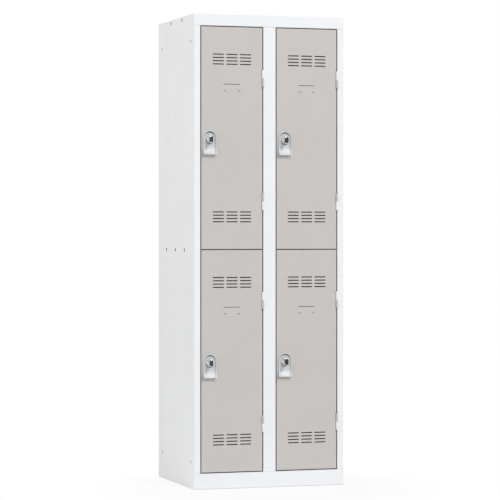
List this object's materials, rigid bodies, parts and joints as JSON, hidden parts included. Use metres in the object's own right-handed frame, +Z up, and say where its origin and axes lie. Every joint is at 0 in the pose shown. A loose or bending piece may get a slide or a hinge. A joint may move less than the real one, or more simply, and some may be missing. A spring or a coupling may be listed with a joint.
{
  "type": "locker cabinet",
  "caption": "Tall steel locker cabinet: vented, keyed doors on pin hinges close stacked and side-by-side compartments with shelves and coat rails.",
  "frame": {"origin": "on the floor, at the middle of the plinth's front edge", "axes": "+X to the right as seen from the front, +Y from the front face to the rear, +Z up"},
  "size_m": [0.6, 0.5413, 1.8],
  "materials": {
    "carcass_paint": "near-white satin powder coat",
    "door_paint": "warm light grey satin powder coat",
    "satin_metal": "satin die-cast zinc, pale grey lacquer",
    "lock_chrome": "polished chrome plate",
    "rail_chrome": "chromed steel tube",
    "zinc_steel": "bright zinc plate",
    "key_steel": "nickel-plated steel",
    "key_plastic": "moulded black plastic",
    "black_plastic": "moulded black plastic",
    "buffer_rubber": "soft dark rubber"
  },
  "bodies": {
    "carcass": {"left_side_panel": "carcass_paint", "right_side_panel": "carcass_paint", "centre_stile": "carcass_paint", "centre_partition": "carcass_paint", "top_panel": "carcass_paint", "bottom_panel": "carcass_paint", "rear_panel": "carcass_paint", "rear_panel_rivets": "zinc_steel", "left_shelf": "carcass_paint", "right_shelf": "carcass_paint", "hanging_rails": "rail_chrome", "rail_supports": "black_plastic", "support_nuts": "zinc_steel", "door_buffers": "buffer_rubber", "frame_hinge_leaves": "carcass_paint", "hinge_pins": "zinc_steel"},
    "lower_left_door": {"lower_left_door_panel": "door_paint", "lower_left_door_stiffener": "door_paint", "lower_left_door_hinge_leaves": "door_paint", "lower_left_lock_plate": "satin_metal", "lower_left_lock_housing": "lock_chrome", "lower_left_lock_nut": "zinc_steel"},
    "lower_left_lock": {"lower_left_lock_plug": "lock_chrome", "lower_left_lock_cam": "zinc_steel", "lower_left_cam_screw": "zinc_steel"},
    "lower_left_key": {"lower_left_key_blade": "key_steel", "lower_left_key_bow": "key_plastic"},
    "lower_right_door": {"lower_right_door_panel": "door_paint", "lower_right_door_stiffener": "door_paint", "lower_right_door_hinge_leaves": "door_paint", "lower_right_lock_plate": "satin_metal", "lower_right_lock_housing": "lock_chrome", "lower_right_lock_nut": "zinc_steel"},
    "lower_right_lock": {"lower_right_lock_plug": "lock_chrome", "lower_right_lock_cam": "zinc_steel", "lower_right_cam_screw": "zinc_steel"},
    "lower_right_key": {"lower_right_key_blade": "key_steel", "lower_right_key_bow": "key_plastic"},
    "upper_left_door": {"upper_left_door_panel": "door_paint", "upper_left_door_stiffener": "door_paint", "upper_left_door_hinge_leaves": "door_paint", "upper_left_lock_plate": "satin_metal", "upper_left_lock_housing": "lock_chrome", "upper_left_lock_nut": "zinc_steel"},
    "upper_left_lock": {"upper_left_lock_plug": "lock_chrome", "upper_left_lock_cam": "zinc_steel", "upper_left_cam_screw": "zinc_steel"},
    "upper_left_key": {"upper_left_key_blade": "key_steel", "upper_left_key_bow": "key_plastic"},
    "upper_right_door": {"upper_right_door_panel": "door_paint", "upper_right_door_stiffener": "door_paint", "upper_right_door_hinge_leaves": "door_paint", "upper_right_lock_plate": "satin_metal", "upper_right_lock_housing": "lock_chrome", "upper_right_lock_nut": "zinc_steel"},
    "upper_right_lock": {"upper_right_lock_plug": "lock_chrome", "upper_right_lock_cam": "zinc_steel", "upper_right_cam_screw": "zinc_steel"},
    "upper_right_key": {"upper_right_key_blade": "key_steel", "upper_right_key_bow": "key_plastic"}
  },
  "joints": [
    {"name": "lower_left_door_hinge", "type": "hinge", "parent": "carcass", "child": "lower_left_door", "pos_m": [-0.02675, -0.002, 0.48488], "axis": [0, 0, 1], "range_deg": [0, 110]},
    {"name": "lower_left_lock_turn", "type": "hinge", "parent": "lower_left_door", "child": "lower_left_lock", "pos_m": [-0.239, 0, 0.479], "axis": [0, 1, 0], "range_deg": [0, 90]},
    {"name": "lower_left_key_slide", "type": "slide", "parent": "lower_left_lock", "child": "lower_left_key", "axis": [0, -1, 0], "range_m": [0, 0.026]},
    {"name": "lower_right_door_hinge", "type": "hinge", "parent": "carcass", "child": "lower_right_door", "pos_m": [0.27325, -0.002, 0.48488], "axis": [0, 0, 1], "range_deg": [0, 110]},
    {"name": "lower_right_lock_turn", "type": "hinge", "parent": "lower_right_door", "child": "lower_right_lock", "pos_m": [0.061, 0, 0.479], "axis": [0, 1, 0], "range_deg": [0, 90]},
    {"name": "lower_right_key_slide", "type": "slide", "parent": "lower_right_lock", "child": "lower_right_key", "axis": [0, -1, 0], "range_m": [0, 0.026]},
    {"name": "upper_left_door_hinge", "type": "hinge", "parent": "carcass", "child": "upper_left_door", "pos_m": [-0.02675, -0.002, 1.33112], "axis": [0, 0, 1], "range_deg": [0, 110]},
    {"name": "upper_left_lock_turn", "type": "hinge", "parent": "upper_left_door", "child": "upper_left_lock", "pos_m": [-0.239, 0, 1.32525], "axis": [0, 1, 0], "range_deg": [0, 90]},
    {"name": "upper_left_key_slide", "type": "slide", "parent": "upper_left_lock", "child": "upper_left_key", "axis": [0, -1, 0], "range_m": [0, 0.026]},
    {"name": "upper_right_door_hinge", "type": "hinge", "parent": "carcass", "child": "upper_right_door", "pos_m": [0.27325, -0.002, 1.33112], "axis": [0, 0, 1], "range_deg": [0, 110]},
    {"name": "upper_right_lock_turn", "type": "hinge", "parent": "upper_right_door", "child": "upper_right_lock", "pos_m": [0.061, 0, 1.32525], "axis": [0, 1, 0], "range_deg": [0, 90]},
    {"name": "upper_right_key_slide", "type": "slide", "parent": "upper_right_lock", "child": "upper_right_key", "axis": [0, -1, 0], "range_m": [0, 0.026]}
  ]
}
